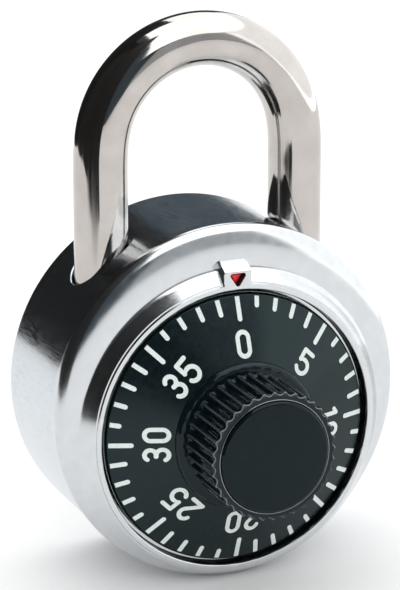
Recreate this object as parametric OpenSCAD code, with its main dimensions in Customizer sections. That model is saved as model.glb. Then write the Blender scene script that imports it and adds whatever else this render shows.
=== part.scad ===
// Round combination padlock: drawn steel case, conical dial with a fluted knob,
// round-bar shackle, and the disc pack, lever and latch inside.
// Millimetres. Origin: inside of the shackle's crown. +Z up, dial faces -Y.

/* [Case] */
// Outer radius of the case's side wall
case_r = 23.75; // [22:0.05:26]
// Outer radius of the rounded front shoulder
shoulder_r = 24.05; // [22.2:0.05:26.5]
// Sheet thickness of the case
sheet = 0.8; // [0.6:0.05:1.2]
// Distance from the shackle's plane forward to the flat front of the case
front_h = 11.0; // [10:0.1:13]
// Distance from the shackle's plane back to the rear cover's outer face
back_h = 9.3; // [8.5:0.1:10]
// Gap between the top of the case and the inside of the crown
clearance_z = 19.0; // [17:0.5:24]

/* [Dial] */
// Distance of the dial axis below the centre of the case
dial_drop = 2.9; // [2:0.1:3.2]
// Radius of the opening in the bezel ring
well_r = 18.87; // [18.6:0.01:19.2]
// Height of the bezel ring's rim, forward of the shackle's plane
ring_h = 13.0; // [12.6:0.1:13.6]
// Outer radius of the dial
dial_r = 18.3; // [17.8:0.05:18.4]
// Outer radius of the printed marks
mark_r = 17.95; // [17:0.05:18]
// Length of a long mark, at each fifth number
mark_l = 3.05; // [2.5:0.05:3.4]
// Width of a mark
mark_w = 0.62; // [0.4:0.02:0.9]
// Height of the numbers
digit_h = 3.5; // [2.8:0.1:4]
// Rise of the dial's cone for each millimetre towards its centre
cone_k = 0.395; // [0.3:0.005:0.45]

/* [Knob] */
// Radius of the knob over its ribs
knob_r = 8.9; // [8:0.05:9.4]
// Distance of the knob's front face from the shackle's plane
knob_h = 25.2; // [22:0.1:27]
// Radius of the fillet where the knob meets the dial
knob_foot_r = 10.0; // [9.6:0.05:10.4]
// Number of flutes round the knob
flutes = 36; // [24:1:48]
// Radius of the knob cap
cap_r = 7.45; // [6.5:0.05:7.8]

/* [Shackle] */
// Radius of the shackle's bar
bar_r = 3.57; // [3.2:0.01:3.8]
// Distance of each leg from the middle
leg_x = 13.85; // [13.4:0.05:14.3]
// Length of shackle that slides out of the case
lift = 11.5; // [10:0.5:11.5]
// Running clearance round a leg
leg_gap = 0.18; // [0.1:0.01:0.3]

/* [Discs] */
// Radius of the discs
disc_r = 9.8; // [9:0.1:9.9]
// Thickness of a disc
disc_t = 1.2; // [0.8:0.1:1.3]
// Depth of the gate in each disc
gate_d = 2.2; // [1.6:0.1:2.6]

/* [Hidden] */
$fn = 96;

body_z = -clearance_z - shoulder_r + 0.05;
dial_z = body_z - dial_drop;
bend_z = bar_r - leg_x;
toe_z = -33.0;
heel_z = -56.6;
neck_r = 2.6;
neck_lo = heel_z + 2.0;
neck_hi = neck_lo + lift + 1.4;
stop_z = neck_hi - 1.2;
cone_top = 12.5;
hub_h = cone_top + (18.05 - knob_foot_r) * cone_k;
cam_h = 5.4;
mid_h = 3.0;
rear_h = 0.6;
post_r = 2.0;
spindle_r = 3.0;
plate_h = -7.7;
bolt_lo = -30.5;
bolt_hi = -27.5;
notch_x = -11.38;
lever_x = -14.5;
lever_z = -52.0;
fence_x = -9.75;
fence_z = -40.3;
nose_x = -3.5;
nose_z = -29.4;

steel = [0.72, 0.73, 0.75];
black = [0.06, 0.07, 0.07];
brass = [0.75, 0.6, 0.3];

// heights h run forward from the shackle's plane, along -Y
module on_dial(h = 0) { translate([0, -h, dial_z]) rotate([90, 0, 0]) children(); }
module on_body(h = 0) { translate([0, -h, body_z]) rotate([90, 0, 0]) children(); }
module on_axis(x, z, h = 0) { translate([x, -h, z]) rotate([90, 0, 0]) children(); }

module ring(ro, ri, h) {
  difference() {
    cylinder(r = ro, h = h);
    translate([0, 0, -1]) cylinder(r = ri, h = h + 2);
  }
}

// ---------------------------------------------------------------- case
module case_outer_profile() {
  square([case_r, 9.0]);
  translate([0, -8.4]) square([case_r, 9]);
  translate([0, -9.0]) square([case_r - 0.6, 1]);
  translate([case_r - 0.6, -8.4]) circle(r = 0.6);
  translate([shoulder_r - 1.6, 9.0]) circle(r = 1.6);
  polygon([[0, 8], [0, front_h], [17, front_h], [shoulder_r - 1.6, 10.6], [shoulder_r - 1.6, 8]]);
}

module case_inner_profile() {
  translate([0, -8.5]) square([case_r - sheet, 17.5]);
  translate([0, -10]) square([case_r - 1.9, 4]);
  translate([shoulder_r - 1.9, 9.0]) circle(r = 0.8);
  polygon([[0, 8], [0, front_h - sheet], [17, front_h - sheet], [shoulder_r - 1.9, 9.8],
    [shoulder_r - 1.9, 8]]);
}

module half(w = 40) { intersection() { children(); translate([0, -w]) square([w, 2 * w]); } }

module bezel_ring() {
  intersection() {
    on_dial() rotate_extrude() {
      polygon([[well_r, front_h - 2.2], [well_r, ring_h - 0.25], [well_r + 0.25, ring_h],
        [well_r + 0.7, ring_h], [well_r + 0.82, ring_h - 0.3], [well_r + 1.0, ring_h - 0.3],
        [well_r + 4.07, front_h - 2.2]]);
      translate([well_r + 0.25, ring_h - 0.25]) circle(r = 0.25);
    }
    on_body() rotate_extrude() half() union() {
      translate([18.6, 9.3]) circle(r = 5.4);
      square([18.6, 14.7]);
    }
  }
}

module pointer_boss() {
  translate([-1.95, 0, dial_z]) rotate([90, 0, 90]) linear_extrude(3.9)
    polygon([[-front_h + 0.6, 19.2], [-ring_h + 0.08, 19.2], [-ring_h + 0.05, 21.4],
      [-front_h - 0.2, 22.5], [-front_h + 0.6, 22.5]]);
}

module triangle(s = 1) {
  polygon([[-1.3 * s, 21.1 + 0.3 * (s - 1)], [1.3 * s, 21.1 + 0.3 * (s - 1)],
    [0, 19.15 - 0.4 * (s - 1)]]);
}

module leg_hole(x, r) { translate([x, 0, -34]) cylinder(r = r, h = 24); }

module leg_flare(x) {
  translate([x, 0, -25.6]) cylinder(r1 = bar_r + leg_gap, r2 = bar_r + leg_gap + 2.4, h = 7);
}

module outer_case() {
  color(steel) difference() {
    union() {
      difference() {
        union() {
          on_body() rotate_extrude() half() case_outer_profile();
          bezel_ring();
          pointer_boss();
        }
        on_body() rotate_extrude() half() case_inner_profile();
        on_dial(front_h - 0.9) cylinder(r = 4.3, h = 3);
      }
      // wall rolled inwards round each shackle hole
      intersection() {
        union() { leg_hole(-leg_x, 6.0); leg_hole(leg_x, 6.0); }
        on_body(-6) ring(case_r - 0.2, case_r - 2.9, 12);
      }
    }
    leg_hole(-leg_x, bar_r + leg_gap);
    leg_hole(leg_x, bar_r + leg_gap);
    leg_flare(-leg_x);
    leg_flare(leg_x);
    on_dial(ring_h - 1.95) linear_extrude(3) triangle();
  }
}

module index_pointer() {
  color("red") on_dial(ring_h - 1.95) linear_extrude(0.3) triangle(0.96);
}

module inner_case() {
  color([0.6, 0.6, 0.62]) difference() {
    on_body() rotate_extrude() half() difference() {
      union() {
        translate([0, -7.6]) square([22.85, 14.8]);
        translate([20.65, 7.2]) circle(r = 2.2);
        square([20.65, 9.4]);
      }
      union() {
        translate([0, -8]) square([22.05, 15.2]);
        translate([20.65, 7.2]) circle(r = 1.4);
        square([20.65, 8.6]);
      }
    }
    leg_hole(-leg_x, 6.2);
    leg_hole(leg_x, 6.2);
    on_dial(8) cylinder(r = 4.3, h = 2);
    pillar_places() cylinder(r = 0.9, h = 20);
  }
}

module rear_cover() {
  color(steel) on_body() rotate_extrude() polygon([[0, -back_h], [19.6, -back_h], [20.6, -8.75],
    [21.6, -8.75], [21.6, -8.45], [22.8, -8.45], [22.8, -7.8], [20.3, -7.8], [19.3, -8.4],
    [0, -8.4]]);
}

// ---------------------------------------------------------------- fixed frame
module pillar_places() {
  for (p = [[-4, -24.9], [4, -24.9], [-7.5, -59.9], [7.5, -59.9]])
    on_axis(p[0], p[1], plate_h - 0.35) children();
}

module post_plate() {
  color([0.66, 0.64, 0.58]) difference() {
    on_body(plate_h) cylinder(r = 21.2, h = 1.2);
    pillar_places() cylinder(r = 0.9, h = 20);
    on_dial(plate_h - 1) cylinder(r = 1.4, h = 3);
    on_axis(lever_x, lever_z, plate_h - 1) cylinder(r = 0.8, h = 3);
  }
}

module frame_pillars() {
  color(steel) pillar_places() union() {
    cylinder(r = 1.2, h = 0.35);
    cylinder(r = 0.9, h = 9.8 - plate_h);
    translate([0, 0, 1.55]) cylinder(r = 1.2, h = 8.6 - plate_h - 1.2);
    translate([0, 0, 9.4 - plate_h + 0.35]) cylinder(r = 1.3, h = 0.5);
  }
}

module wheel_post() {
  color(steel) {
    on_dial(plate_h) cylinder(r = 1.4, h = 1.21);
    on_dial(plate_h + 1.2) cylinder(r = 3.2, h = rear_h - 0.1 - plate_h - 1.2);
    on_dial(rear_h - 0.2) cylinder(r = post_r, h = cam_h - 0.1 - rear_h + 0.2);
  }
}

module disc_spacers() {
  color(brass) {
    on_dial(rear_h + disc_t + 0.1) ring(4.2, post_r, mid_h - rear_h - disc_t - 0.2);
    on_dial(mid_h + disc_t + 0.1) ring(4.2, post_r, cam_h - mid_h - disc_t - 0.2);
  }
}

module dial_bushing() {
  color(brass) {
    on_dial(7.45) ring(4.2, spindle_r + 0.05, 3.45);
    on_dial(9.42) ring(5.8, 4.2, 0.76);
  }
}

module friction_washer() {
  color(steel) on_dial(front_h + 0.01) ring(7.4, 4.7, 0.45);
}

module heel_stop() {
  color([0.66, 0.64, 0.58]) difference() {
    union() {
      translate([10.6, -4.6, stop_z]) cube([8.6, 4.6 - plate_h - 1.2, 1.1]);
      translate([10.6, -plate_h - 2.4, stop_z - 6]) cube([8.6, 1.2, 7.1]);
    }
    translate([leg_x, 0, stop_z - 1]) cylinder(r = neck_r + 0.12, h = 4);
    translate([leg_x - neck_r - 0.12, -8, stop_z - 1]) cube([2 * neck_r + 0.24, 8, 4]);
  }
}

module latch_guide() {
  color([0.66, 0.64, 0.58]) difference() {
    union() {
      translate([-8, -2.7, bolt_lo - 0.9]) cube([9.5, 2.7 - plate_h - 1.2, bolt_hi - bolt_lo + 1.8]);
      translate([8.8, -2.0, bolt_lo]) cube([1.0, 2.0 - plate_h - 1.2, bolt_hi - bolt_lo]);
    }
    translate([-9, -1.5, bolt_lo - 0.1]) cube([12, 3.2, bolt_hi - bolt_lo + 0.2]);
    translate([-5.6, -0.6, bolt_lo - 2]) cube([4.2, 3.0, 3]);
  }
}

module lever_pivot() {
  color(steel) {
    on_axis(lever_x, lever_z, plate_h) cylinder(r = 0.8, h = 1.21);
    on_axis(lever_x, lever_z, plate_h + 1.2) cylinder(r = 2.6, h = -1.1 - plate_h - 1.2 - 2.0);
    on_axis(lever_x, lever_z, -3.2) cylinder(r = 1.5, h = 4.0);
    on_axis(lever_x, lever_z, 0.55) cylinder(r = 2.3, h = 0.5);
  }
}

// a wire of radius w swept along a list of points, closed at both ends
module wire(path, w, n = 8, up = [0, 1, 0]) {
  m = len(path);
  pts = [for (i = [0:m - 1]) let (
      a = path[max(i - 1, 0)], b = path[min(i + 1, m - 1)], t = (b - a) / norm(b - a),
      u0 = up - (up * t) * t, u = u0 / norm(u0), v = cross(t, u)
    ) for (j = [0:n - 1]) path[i] + w * (cos(360 * j / n) * u + sin(360 * j / n) * v)];
  faces = concat(
    [[for (j = [0:n - 1]) j]],
    [for (i = [0:m - 2]) for (j = [0:n - 1]) let (k = (j + 1) % n)
      [i * n + j, (i + 1) * n + j, (i + 1) * n + k]],
    [for (i = [0:m - 2]) for (j = [0:n - 1]) let (k = (j + 1) % n)
      [i * n + j, (i + 1) * n + k, i * n + k]],
    [[for (j = [n - 1:-1:0]) (m - 1) * n + j]]);
  polyhedron(points = pts, faces = faces, convexity = 10);
}

module latch_spring() {
  turns = 5;
  color(steel) translate([2.05, 0, (bolt_lo + bolt_hi) / 2])
    wire([for (i = [0:turns * 12]) [0.2 + 6.3 * i / (turns * 12), 1.15 * cos(360 * i / 12),
      1.15 * sin(360 * i / 12)]], 0.19, 6, [1, 0, 0]);
}

module lever_spring() {
  turns = 2.25;
  n = 9 * 4;
  color(steel) translate([lever_x, 0, lever_z])
    wire(concat(
      [[-2.05, 2.75, 7.5], [-2.05, 2.75, 3.5]],
      [for (i = [0:n]) let (a = 180 + 360 * turns * i / n) [2.05 * cos(a), 2.75 - 1.2 * i / n,
        -2.05 * sin(a)]],
      [[2.6, 1.55, 2.05], [5.0, 1.55, 2.05]]), 0.2, 6, [0, 1, 0]);
}

// ---------------------------------------------------------------- dial
module dial_plate() {
  color(black) on_dial() rotate_extrude() polygon([[spindle_r, 11.5], [7.4, 11.5], [7.4, 12.9],
    [9.0, 13.9], [16.9, 11.5], [dial_r, 11.5], [dial_r, cone_top - 0.35],
    [dial_r - 0.1, cone_top - 0.1], [18.05, cone_top], [knob_foot_r, hub_h],
    [spindle_r, hub_h]]);
}

// a mark of length l at number n, in the dial's plane, seen from the front
module mark(n, l) {
  rotate(-9 * n) translate([0, mark_r]) union() {
    translate([-mark_w / 2, -l + mark_w / 2]) square([mark_w, l - mark_w / 2]);
    translate([0, -l + mark_w / 2]) circle(r = mark_w / 2);
  }
}

// the four short marks grow towards the next number
function mark_len(n) = n % 5 == 0 ? mark_l : mark_l * (0.39 + 0.077 * (n % 5));

module arc(r, w, a0, a1) {
  n = max(4, ceil(abs(a1 - a0) / 15));
  polygon(concat(
    [for (i = [0:n]) (r + w / 2) * [cos(a0 + (a1 - a0) * i / n), sin(a0 + (a1 - a0) * i / n)]],
    [for (i = [n:-1:0]) (r - w / 2) * [cos(a0 + (a1 - a0) * i / n), sin(a0 + (a1 - a0) * i / n)]]));
}

module stroke(a, b, w) {
  d = b - a;
  translate(a) rotate(atan2(d[1], d[0])) translate([0, -w / 2]) square([norm(d), w]);
  translate(a) circle(d = w);
  translate(b) circle(d = w);
}

// digits 3.5 units high with round-ended strokes, centred
module digit(c) {
  w = 0.56;
  k = digit_h / 3.5;
  scale([k, k]) {
    if (c == 0) difference() {
      union() {
        translate([0, 0.72]) circle(r = 1.03);
        translate([0, -0.72]) circle(r = 1.03);
        translate([-1.03, -0.72]) square([2.06, 1.44]);
      }
      union() {
        translate([0, 0.72]) circle(r = 0.47);
        translate([0, -0.72]) circle(r = 0.47);
        translate([-0.47, -0.72]) square([0.94, 1.44]);
      }
    }
    if (c == 1) {
      stroke([0.15, -1.47], [0.15, 1.47], w);
      stroke([0.15, 1.47], [-0.4, 1.1], w);
    }
    if (c == 2) {
      translate([0, 0.69]) arc(0.78, w, -35, 165);
      translate([-0.753, 0.892]) circle(d = w);
      stroke([0.639, 0.243], [-0.9, -1.47], w);
      stroke([-0.9, -1.47], [0.95, -1.47], w);
    }
    if (c == 3) {
      translate([0, 0.77]) arc(0.7, w, -90, 150);
      translate([-0.606, 1.12]) circle(d = w);
      translate([0, -0.7]) arc(0.77, w, -150, 90);
      translate([-0.667, -1.085]) circle(d = w);
      stroke([-0.2, 0.07], [0.1, 0.07], w);
    }
    if (c == 5) {
      stroke([0.75, 1.47], [-0.72, 1.47], w);
      stroke([-0.72, 1.47], [-0.72, 0.1], w);
      stroke([-0.8, 0.1], [-0.22, 0.3], 0.44);
      translate([0, -0.57]) arc(0.9, w, -150, 105);
      translate([-0.779, -1.02]) circle(d = w);
    }
  }
}

module number(n) {
  rotate(-9 * n) translate([0, 12.15]) {
    if (n < 10) digit(n);
    if (n >= 10) {
      translate([-1.35 + (floor(n / 10) == 1 ? 0.25 : 0), 0]) digit(floor(n / 10));
      translate([1.35 - (floor(n / 10) == 1 ? 0.1 : 0), 0]) digit(n % 10);
    }
  }
}

module dial_marks() {
  t = 0.06;
  color("white") intersection() {
    on_dial(12) linear_extrude(5) union() {
      for (n = [0:39]) mark(n, mark_len(n));
      for (n = [0:5:35]) number(n);
    }
    on_dial() rotate_extrude() polygon([[10.02, cone_top + (18.05 - 10.02) * cone_k],
      [18.05, cone_top], [18.05, cone_top + t],
      [10.02, cone_top + (18.05 - 10.02) * cone_k + t]]);
  }
}

// ---------------------------------------------------------------- knob
module knob() {
  color(black) on_dial() difference() {
    union() {
      translate([0, 0, hub_h]) linear_extrude(knob_h - hub_h - 0.25) difference() {
        circle(r = knob_r);
        for (i = [0:flutes - 1]) rotate(360 * i / flutes)
          translate([knob_r + 0.26, 0]) circle(r = 0.62, $fn = 24);
      }
      rotate_extrude() polygon([[spindle_r, hub_h], [knob_foot_r - 0.02, hub_h],
        [knob_foot_r - 0.1, hub_h + 0.3], [knob_foot_r - 0.45, hub_h + 0.55], [8.4, hub_h + 0.75],
        [spindle_r, hub_h + 0.75]]);
      translate([0, 0, knob_h - 0.3]) cylinder(r = knob_r - 0.4, h = 0.3);
    }
    translate([0, 0, hub_h - 1]) cylinder(r = spindle_r, h = 7.5);
    translate([0, 0, knob_h - 0.7]) cylinder(r = cap_r + 0.06, h = 2);
  }
}

module knob_cap() {
  color(black) on_dial(knob_h - 0.7) rotate_extrude() half() union() {
    square([cap_r, 0.75]);
    square([cap_r - 0.25, 1.0]);
    translate([cap_r - 0.25, 0.75]) circle(r = 0.25);
  }
}

module dial_spindle() {
  color(steel) difference() {
    union() {
      on_dial(cam_h) cylinder(r = 2.2, h = 1.25);
      on_dial(cam_h + disc_t + 0.02) cylinder(r = spindle_r, h = hub_h + 6.3 - cam_h - disc_t);
    }
    on_dial(7.0) ring(4, 2.5, 0.42);
  }
}

module spindle_ring() {
  color(steel) on_dial(7.01) difference() {
    ring(4.4, 2.5, 0.4);
    translate([0, -0.9, -1]) cube([6, 1.8, 3]);
  }
}

module disc_blank(r, bore) {
  difference() {
    cylinder(r = r, h = disc_t);
    translate([0, 0, -1]) cylinder(r = bore, h = 4);
  }
}

module gate(a, d = gate_d, w = 2.3) {
  rotate(a) translate([disc_r - d, -w / 2, -1]) cube([5, w, 4]);
}

module drive_cam() {
  color(brass) on_dial(cam_h) difference() {
    disc_blank(disc_r, 2.2);
    gate(37);
    for (i = [1:11]) gate(37 + 30 * i, 0.7, 2.3);
  }
}

module middle_disc() {
  color(brass) on_dial(mid_h) difference() {
    disc_blank(disc_r, post_r + 0.05);
    gate(-64);
    rotate(120) translate([6.3, 0, -1]) cylinder(r = 0.7, h = 4);
  }
}

module rear_disc() {
  color(brass) on_dial(rear_h) difference() {
    disc_blank(disc_r, post_r + 0.05);
    gate(95);
    rotate(-30) translate([6.3, 0, -1]) cylinder(r = 0.7, h = 4);
  }
}

// ---------------------------------------------------------------- shackle
module shackle() {
  color([0.8, 0.8, 0.8]) difference() {
    union() {
      translate([0, 0, bend_z]) rotate([90, 0, 0]) rotate_extrude(angle = 180)
        translate([leg_x, 0]) circle(r = bar_r);
      translate([-leg_x, 0, toe_z + 0.6]) cylinder(r = bar_r, h = bend_z - toe_z - 0.6);
      translate([-leg_x, 0, toe_z]) cylinder(r1 = bar_r - 0.6, r2 = bar_r, h = 0.6);
      translate([leg_x, 0, neck_hi]) cylinder(r = bar_r, h = bend_z - neck_hi);
      translate([leg_x, 0, heel_z + 0.5]) cylinder(r = neck_r, h = neck_hi - heel_z);
      translate([leg_x, 0, heel_z]) cylinder(r = bar_r, h = neck_lo - heel_z);
    }
    // notch for the latch, with its sloped lower flank
    translate([0, 6, 0]) rotate([90, 0, 0]) linear_extrude(12)
      polygon([[notch_x, bolt_hi + 0.1], [notch_x, bolt_lo - 0.1],
        [notch_x + 0.4 * (bolt_lo - 0.1 - toe_z + 1), toe_z - 1], [-7, toe_z - 1],
        [-7, bolt_hi + 0.1]]);
  }
}

module latch_bolt() {
  color(steel) difference() {
    union() {
      translate([-9.6, -1.4, bolt_lo]) cube([11.6, 3.0, bolt_hi - bolt_lo]);
      translate([notch_x + 0.1, -1.4, bolt_lo]) cube([2, 3.0, bolt_hi - bolt_lo]);
      translate([1.9, 0, (bolt_lo + bolt_hi) / 2]) rotate([0, 90, 0]) cylinder(r = 0.75, h = 2.0);
    }
    // slot that gives the lever's nose room over the bolt's whole travel
    translate([-9.2, -0.5, bolt_lo - 1]) cube([7.2, 3, 2.4]);
  }
}

// ---------------------------------------------------------------- lever
module bar2(a, b, w) {
  hull() {
    translate(a) circle(d = w, $fn = 32);
    translate(b) circle(d = w, $fn = 32);
  }
}

module locking_lever() {
  color([0.7, 0.66, 0.5]) on_axis(0, 0, -1.0) difference() {
    union() {
      translate([lever_x, lever_z, 0]) cylinder(r = 3.0, h = 1.2);
      linear_extrude(1.2) {
        bar2([lever_x, lever_z], [fence_x, fence_z], 3.4);
        bar2([fence_x, fence_z], [nose_x, nose_z - 4.2], 3.0);
        translate([nose_x - 0.7, nose_z - 4.4]) square([1.4, 4.4]);
      }
    }
    translate([lever_x, lever_z, -1]) cylinder(r = 1.55, h = 4);
    translate([fence_x, fence_z, -1]) rotate(-30) translate([-0.75, -0.6, 0]) cube([1.5, 1.2, 4]);
  }
}

module lever_fence() {
  color(steel) {
    on_axis(fence_x, fence_z, 0.21) rotate(-30) translate([-0.95, -0.8, 0]) cube([1.9, 1.6, 6.4]);
    on_axis(fence_x, fence_z, -1.0) rotate(-30) translate([-0.75, -0.6, 0]) cube([1.5, 1.2, 1.3]);
  }
}

outer_case();
inner_case();
rear_cover();
index_pointer();
dial_bushing();
friction_washer();
post_plate();
frame_pillars();
wheel_post();
disc_spacers();
heel_stop();
latch_guide();
lever_pivot();
lever_spring();
latch_spring();
dial_plate();
dial_marks();
knob();
knob_cap();
dial_spindle();
spindle_ring();
drive_cam();
middle_disc();
rear_disc();
shackle();
latch_bolt();
locking_lever();
lever_fence();
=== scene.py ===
"""Visual model of a round combination padlock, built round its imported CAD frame.

Shapes are written in millimetres and turned into metres when a mesh is made.
Heights h run forward from the shackle's plane, along -Y.
"""
import math

import bmesh
import bpy
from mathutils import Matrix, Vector
from mathutils.geometry import delaunay_2d_cdt


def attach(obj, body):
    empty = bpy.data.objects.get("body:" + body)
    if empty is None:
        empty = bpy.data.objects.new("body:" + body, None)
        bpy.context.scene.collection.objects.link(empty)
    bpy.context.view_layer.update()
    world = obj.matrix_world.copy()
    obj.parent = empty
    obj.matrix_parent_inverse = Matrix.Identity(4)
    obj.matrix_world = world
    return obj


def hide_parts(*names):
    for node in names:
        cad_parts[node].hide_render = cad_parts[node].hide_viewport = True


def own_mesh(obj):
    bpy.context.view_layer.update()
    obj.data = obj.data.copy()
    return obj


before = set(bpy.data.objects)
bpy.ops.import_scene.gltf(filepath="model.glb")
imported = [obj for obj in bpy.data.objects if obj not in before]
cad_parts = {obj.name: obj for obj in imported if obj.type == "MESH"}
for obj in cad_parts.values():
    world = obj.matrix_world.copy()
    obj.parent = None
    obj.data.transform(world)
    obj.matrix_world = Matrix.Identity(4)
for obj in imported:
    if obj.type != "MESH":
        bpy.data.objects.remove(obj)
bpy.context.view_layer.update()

MM = 0.001
TAU = 2 * math.pi
SCENE = bpy.context.scene

# Sizes shared with the CAD frame, in millimetres
BODY_Z = -43.0          # centre of the case
DIAL_Z = -45.9          # dial axis
CASE_R = 23.75          # side wall
SHOULDER_R = 24.05      # front shoulder, slightly proud of the wall
FRONT_H = 11.0          # flat front
RING_H = 13.0           # rim of the bezel ring
WELL_R = 18.87          # opening of the bezel ring
LEG_X = 13.85           # leg of the shackle
BAR_R = 3.57            # radius of the shackle's bar, and height of its centre at the crown's top
HOLE_R = BAR_R + 0.18   # shackle hole
KNOB_H = 25.2           # edge of the knob's cap
RIM_H = KNOB_H - 0.45   # front of the knob's rim
CONE_K = 0.395          # rise of the dial's cone per millimetre
CONE_H = 12.5           # height of the cone's outer edge
CONE_R = 18.05          # radius of the cone's outer edge

# Mesh clean-up, in millimetres
WELD = 0.002            # points nearer than this become one
SLIVER = 0.0005         # shorter edges are dissolved
MEET = 1e-5             # points nearer than this meet in a plane mesh


# ------------------------------------------------------------------ geometry
def make_object(name, verts, faces, body, material, sharp, node=None, painted_highlight=None, bar=None):
    """A mesh object from points in millimetres, riding on a body.

    Edges that turn by more than sharp degrees stay sharp. node is the CAD node it replaces.
    Per-vertex weights, if given, set how much painted highlight each vertex gets; bar is its place on the
    unrolled shackle.
    """
    mesh = bpy.data.meshes.new(name)
    mesh.from_pydata([(x * MM, y * MM, z * MM) for x, y, z in verts], [], faces)
    if painted_highlight:
        mesh.attributes.new("painted_highlight", "FLOAT", "POINT").data.foreach_set("value", painted_highlight)
    if bar:
        places = mesh.attributes.new("bar", "FLOAT_VECTOR", "POINT")
        places.data.foreach_set("vector", [v * MM for p in bar for v in p])
    bm = bmesh.new()
    bm.from_mesh(mesh)
    bmesh.ops.remove_doubles(bm, verts=bm.verts, dist=WELD * MM)
    bmesh.ops.dissolve_degenerate(bm, dist=SLIVER * MM, edges=bm.edges)
    bmesh.ops.recalc_face_normals(bm, faces=bm.faces)
    bm.to_mesh(mesh)
    bm.free()
    mesh.polygons.foreach_set("use_smooth", [True] * len(mesh.polygons))
    mesh.set_sharp_from_angle(angle=math.radians(sharp))
    obj = bpy.data.objects.new(name, mesh)
    SCENE.collection.objects.link(obj)
    obj.data.materials.append(material)
    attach(obj, body)
    if node:
        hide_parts(node)
    return obj


def clamp(value):
    """Value held between 0 and 1."""
    return min(max(value, 0.0), 1.0)


def rounded(corners, steps=6):
    """Profile through (r, h, fillet radius) corners, each fillet cut into steps."""
    out = []
    last = len(corners) - 1
    for i, (r, h, fillet) in enumerate(corners):
        p = Vector((r, h))
        if i in (0, last) or fillet <= 0:
            out.append(p)
            continue
        a = (Vector(corners[i - 1][:2]) - p).normalized()
        b = (Vector(corners[i + 1][:2]) - p).normalized()
        half = a.angle(b) / 2
        reach = fillet / math.tan(half)
        centre = p + (a + b).normalized() * fillet / math.sin(half)
        start, end = p + a * reach, p + b * reach
        a0 = math.atan2(start.y - centre.y, start.x - centre.x)
        a1 = math.atan2(end.y - centre.y, end.x - centre.x)
        turn = (a1 - a0 + math.pi) % TAU - math.pi
        for k in range(steps + 1):
            t = a0 + turn * k / steps
            out.append(centre + Vector((math.cos(t), math.sin(t))) * fillet)
    return out


def grid_faces(rows, count):
    """Quads between closed rows of count points each."""
    faces = []
    for j in range(rows - 1):
        for i in range(count):
            k = (i + 1) % count
            faces.append((j * count + i, j * count + k, (j + 1) * count + k, (j + 1) * count + i))
    return faces


def lathe(profile, centre_z, count):
    """Vertices and faces of a profile of (r, h) turned about an axis along Y."""
    verts = [(p[0] * math.sin(TAU * i / count), -p[1], centre_z + p[0] * math.cos(TAU * i / count))
             for p in profile for i in range(count)]
    return verts, grid_faces(len(profile), count)


def resample(points, count):
    """count points evenly spaced along a polyline."""
    lengths = [0.0]
    for a, b in zip(points, points[1:]):
        lengths.append(lengths[-1] + (b - a).length)
    out, j = [], 0
    for i in range(count):
        s = lengths[-1] * i / (count - 1)
        while j < len(points) - 2 and lengths[j + 1] < s:
            j += 1
        t = (s - lengths[j]) / max(lengths[j + 1] - lengths[j], 1e-9)
        out.append(points[j].lerp(points[j + 1], clamp(t)))
    return out


def smooth_max(a, b, k):
    """The larger of a and b, with a fillet where they are within k."""
    t = max(k - abs(a - b), 0.0) / k
    return max(a, b) + t * t * k / 4


def inside(p, loop):
    """Whether a point lies in a polygon."""
    hit = False
    for a, b in zip(loop, loop[1:] + loop[:1]):
        if (a.y > p.y) != (b.y > p.y) and p.x < (b.x - a.x) * (p.y - a.y) / (b.y - a.y) + a.x:
            hit = not hit
    return hit


def fall(depth, radius):
    """Drop of a quarter-round edge at a depth inside it."""
    return radius - math.sqrt(radius ** 2 - max(radius - depth, 0.0) ** 2)


def stitch(loops, mesh=((), ())):
    """A mesh with equal closed loops of points, joined in turn, added to its vertices and faces."""
    base = len(mesh[0])
    verts = list(mesh[0]) + [p for loop in loops for p in loop]
    faces = list(mesh[1]) + [tuple(base + i for i in f) for f in grid_faces(len(loops), len(loops[0]))]
    return verts, faces


def plane_mesh(points, links):
    """Points and triangles of the plane mesh that fills a set of points and keeps its links."""
    out, _, tris, _, _, _ = delaunay_2d_cdt(points, links, [], 0, MEET)
    return out, tris


def middle(points, face):
    """Mean of a face's points in the plane."""
    return sum((points[i] for i in face), Vector((0, 0))) / len(face)


def ring_links(first, count):
    """Links round a closed loop of count points that starts at an index."""
    return [(first + i, first + (i + 1) % count) for i in range(count)]


# ------------------------------------------------------------------ materials
def new_material(name, **values):
    """A Principled material, its constants set on the shader's own sockets."""
    mat = bpy.data.materials.new(name)
    mat.use_nodes = True
    shader = mat.node_tree.nodes["Principled BSDF"]
    for key, value in values.items():
        socket = shader.inputs[key.replace("_", " ")]
        socket.default_value = (*value, 1.0) if isinstance(value, tuple) else value
    return mat, mat.node_tree, shader


# Parts of a noise's range that a ramp covers
SPAN = (0.3, 0.7)
LINE_SPAN = (0.35, 0.75)
NOISE_ROUGHNESS = 0.55

# Scales of the steels' lines and clouds, per metre, and how far the lines are drawn out
HATCH_SCALE = 6500
HATCH_STRETCH = (1.0, 0.08, 1.0)
HATCH_TURNS = (34, -28)         # degrees, one for each set of lines
BAR_LINES = 2600
BAR_STRETCH = (1.0, 1.0, 0.02)
BAR_CLOUD = 240
ROUND_LINES = 7000
ROUND_CLOUD = 500


def link(tree, a, out, b, inp):
    """Link one node's output to another's input, both by name."""
    tree.links.new(a.outputs[out], b.inputs[inp])


def attribute(tree, name):
    """Node that reads a mesh attribute."""
    node = tree.nodes.new("ShaderNodeAttribute")
    node.attribute_name = name
    return node


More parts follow.
